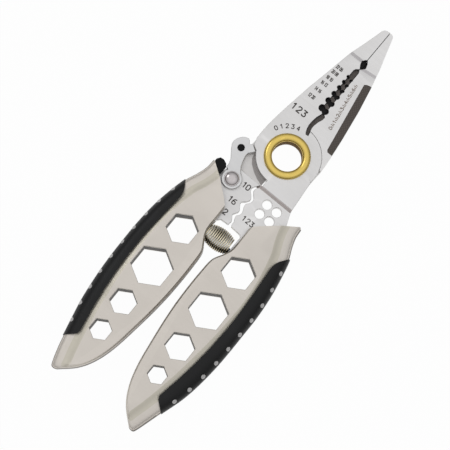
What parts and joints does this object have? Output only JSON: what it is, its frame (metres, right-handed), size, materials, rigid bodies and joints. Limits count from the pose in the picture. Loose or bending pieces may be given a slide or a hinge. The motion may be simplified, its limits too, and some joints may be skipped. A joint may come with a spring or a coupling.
{
  "type": "multifunction pliers",
  "caption": "Multifunction wire pliers, half-lapped blades on a hollow pivot, lock latch, coil spring, sheet handles with hexagonal holes and rubber grips.",
  "frame": {"origin": "centre of the hollow pivot, in the middle plane of the blades", "axes": "+Y from the pivot towards the jaw tips along the jaw seam, +X towards the right handle, +Z along the pivot out of the front face"},
  "size_m": [0.069, 0.2175, 0.0118],
  "materials": {
    "blade_steel": "satin ground",
    "gold_plate": "polished",
    "file_steel": "dark, finely cut",
    "latch_steel": "satin",
    "black_plastic": "matte",
    "rivet_steel": "smooth",
    "spring_wire": "bronzed",
    "shell_steel": "satin warm grey",
    "liner_plastic": "matte",
    "grip_rubber": "matte",
    "stud_plastic": "matte"
  },
  "bodies": {
    "left_half": {"rear_blade": "blade_steel", "pivot_sleeve": "gold_plate", "pivot_ring": "gold_plate", "file_strip": "file_steel", "latch_rivet": "rivet_steel", "return_spring": "spring_wire", "left_front_shell": "shell_steel", "left_rear_shell": "shell_steel", "left_liner": "liner_plastic", "left_grip": "grip_rubber", "left_studs": "stud_plastic", "left_plug": "black_plastic"},
    "right_half": {"front_blade": "blade_steel", "right_front_shell": "shell_steel", "right_rear_shell": "shell_steel", "right_liner": "liner_plastic", "right_grip": "grip_rubber", "right_studs": "stud_plastic"},
    "latch": {"lock_latch": "latch_steel", "latch_button": "black_plastic"}
  },
  "joints": [
    {"name": "jaw_open", "type": "hinge", "parent": "left_half", "child": "right_half", "pos_m": [0, 0, 0], "axis": [0, 0, 1], "range_deg": [0, 24], "deforming": ["return_spring"]},
    {"name": "latch_swing", "type": "hinge", "parent": "left_half", "child": "latch", "pos_m": [-0.0129, -0.0242, 0], "axis": [0, 0, 1], "range_deg": [0, 28]}
  ],
  "couplings": [
    {"joint": "latch_swing", "follows": "jaw_open", "ratio": 1.1667}
  ]
}
